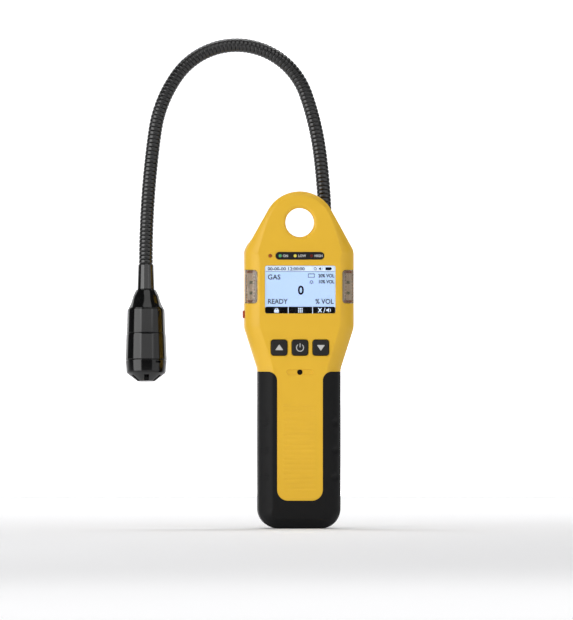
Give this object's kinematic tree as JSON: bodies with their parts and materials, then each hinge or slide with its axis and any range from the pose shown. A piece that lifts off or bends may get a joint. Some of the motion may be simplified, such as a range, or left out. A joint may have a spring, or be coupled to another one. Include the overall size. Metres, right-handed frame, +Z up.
{
  "type": "portable gas detector",
  "caption": "Hand-held gas detector with display, keys, alarm lenses, hanging loop and a bendable gooseneck carrying a remote sensor head",
  "frame": {"origin": "centre of the hanging loop's hole, midway through the loop plate", "axes": "+Z up along the housing, -Y out of the front face with the display, +X to the viewer's right"},
  "size_m": [0.1461, 0.0412, 0.3146],
  "materials": {
    "yellow_plastic": "satin moulded plastic",
    "grip_rubber": "soft matte rubber",
    "seal_rubber": "matte",
    "key_rubber": "soft matte",
    "window_glass": "clear",
    "lcd": "smooth",
    "backlight": "diffusing",
    "black_plastic": "semi gloss",
    "green_light": "lens",
    "yellow_light": "lens",
    "red_light": "lens",
    "amber_light": "lens",
    "alarm_lens": "translucent",
    "white_plastic": "matte",
    "switch_plastic": "matte",
    "red_button": "satin",
    "circuit_board": "solder mask",
    "cell_wrap": "shrink film",
    "steel": "machined",
    "nickel": "plated",
    "gloss_black": "polished",
    "satin_black": "satin",
    "neck_black": "ribbed gloss skin",
    "cable_grey": "matte jacket",
    "filter_felt": "dark felt"
  },
  "bodies": {
    "root": {"front_shell": "yellow_plastic", "rear_shell": "yellow_plastic", "housing_seal": "seal_rubber", "front_grip": "grip_rubber", "rear_grip": "grip_rubber", "display_window": "window_glass", "lcd_panel": "lcd", "lcd_backlight": "backlight", "indicator_strip": "black_plastic", "led_green": "green_light", "led_yellow": "yellow_light", "led_red": "red_light", "charge_light": "amber_light", "left_alarm_lens": "alarm_lens", "right_alarm_lens": "alarm_lens", "alarm_leds": "white_plastic", "key_web": "seal_rubber", "key_switches": "switch_plastic", "side_switch": "switch_plastic", "main_board": "circuit_board", "battery_cells": "cell_wrap", "battery_holder": "black_plastic", "buzzer": "black_plastic", "vibration_motor": "steel", "charge_socket": "steel", "housing_screws": "steel", "neck_gland": "gloss_black", "gland_nut": "nickel", "gland_seal": "seal_rubber", "neck_section_1": "neck_black", "sensor_cable_1": "cable_grey"},
    "up_key": {"up_key": "key_rubber"},
    "power_key": {"power_key": "key_rubber"},
    "down_key": {"down_key": "key_rubber"},
    "side_button": {"side_button": "red_button"},
    "charge_plug": {"charge_port_plug": "grip_rubber"},
    "neck_base": {"neck_section_2": "neck_black", "sensor_cable_2": "cable_grey"},
    "neck_rise": {"neck_section_3": "neck_black", "sensor_cable_3": "cable_grey"},
    "neck_crown": {"neck_section_4": "neck_black", "sensor_cable_4": "cable_grey"},
    "neck_fall": {"neck_section_5": "neck_black", "sensor_cable_5": "cable_grey"},
    "neck_drop": {"neck_section_6": "neck_black", "sensor_cable_6": "cable_grey"},
    "sensor_head": {"neck_section_7": "neck_black", "sensor_cable_7": "cable_grey", "neck_ferrule": "satin_black", "head_collar": "gloss_black", "head_barrel": "gloss_black", "sensor_housing": "gloss_black", "sensor_cap": "gloss_black", "head_seal": "seal_rubber", "sensor_element": "steel", "sensor_board": "circuit_board", "dust_filter": "filter_felt"}
  },
  "joints": [
    {"name": "neck_base_tilt", "type": "hinge", "parent": "root", "child": "neck_base", "pos_m": [0.01421, 0.02471, 0.04347], "axis": [0.993, 0.0093, 0.118], "range_deg": [-30, 30]},
    {"name": "neck_rise_bend", "type": "hinge", "parent": "neck_base", "child": "neck_rise", "pos_m": [0.00513, 0.0278, 0.08271], "axis": [0, 0.9969, -0.0785], "range_deg": [-5, 40]},
    {"name": "neck_crown_bend", "type": "hinge", "parent": "neck_rise", "child": "neck_crown", "pos_m": [-0.03435, 0.03025, 0.1139], "axis": [0, 0.9969, -0.0785], "range_deg": [-5, 40]},
    {"name": "neck_fall_bend", "type": "hinge", "parent": "neck_crown", "child": "neck_fall", "pos_m": [-0.07762, 0.02871, 0.09437], "axis": [0, 0.9969, -0.0785], "range_deg": [-5, 40]},
    {"name": "neck_drop_bend", "type": "hinge", "parent": "neck_fall", "child": "neck_drop", "pos_m": [-0.09182, 0.02591, 0.05878], "axis": [0, 0.9969, -0.0785], "range_deg": [-5, 40]},
    {"name": "neck_head_tilt", "type": "hinge", "parent": "neck_drop", "child": "sensor_head", "pos_m": [-0.09642, 0.02251, 0.01552], "axis": [0.9976, -0.0055, -0.0695], "range_deg": [-30, 30]},
    {"name": "up_key_press", "type": "slide", "parent": "root", "child": "up_key", "axis": [0, 1, 0], "range_m": [0, 0.0007], "stiffness_N_per_m": 600, "springref_m": -0.0008},
    {"name": "power_key_press", "type": "slide", "parent": "root", "child": "power_key", "axis": [0, 1, 0], "range_m": [0, 0.0007], "stiffness_N_per_m": 600, "springref_m": -0.0008},
    {"name": "down_key_press", "type": "slide", "parent": "root", "child": "down_key", "axis": [0, 1, 0], "range_m": [0, 0.0007], "stiffness_N_per_m": 600, "springref_m": -0.0008},
    {"name": "side_button_press", "type": "slide", "parent": "root", "child": "side_button", "axis": [1, 0, 0], "range_m": [0, 0.0008], "stiffness_N_per_m": 600, "springref_m": -0.0008},
    {"name": "charge_plug_pull", "type": "slide", "parent": "root", "child": "charge_plug", "axis": [0, 0, -1], "range_m": [0, 0.008]}
  ]
}
